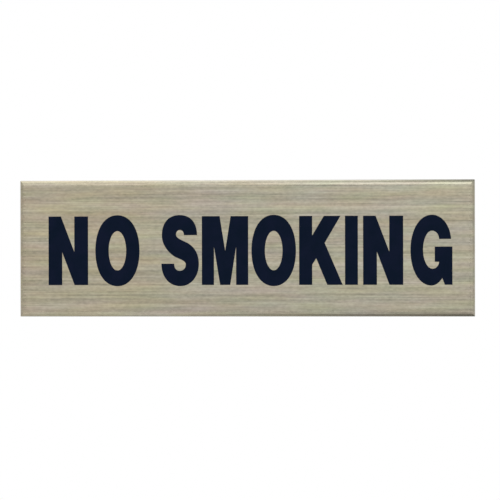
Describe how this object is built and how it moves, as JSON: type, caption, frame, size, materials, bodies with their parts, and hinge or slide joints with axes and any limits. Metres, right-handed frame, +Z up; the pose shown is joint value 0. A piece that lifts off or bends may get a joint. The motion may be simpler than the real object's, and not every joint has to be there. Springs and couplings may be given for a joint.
{
  "type": "no smoking sign",
  "caption": "Flat oblong door sign of brushed metal with rolled-down front edges, stuck to a wall or door by strips of mounting tape on its back.",
  "frame": {"origin": "on the wall plane, at the middle of the middle tape strip's sticking face, behind the centre of the plate", "axes": "+X along the sign's length to the reader's right, +Y into the wall, +Z up; the front faces -Y"},
  "size_m": [0.2, 0.004, 0.06],
  "materials": {
    "brushed_metal": "pale gold anodised, brushed along its length, satin",
    "mounting_tape": "off-white double-sided tape, matt",
    "printed_ink": "dark navy screen-printed ink, satin, used by the printed words in the visual model"
  },
  "bodies": {
    "root": {"face_plate": "brushed_metal", "left_tape": "mounting_tape", "middle_tape": "mounting_tape", "right_tape": "mounting_tape"}
  },
  "joints": []
}
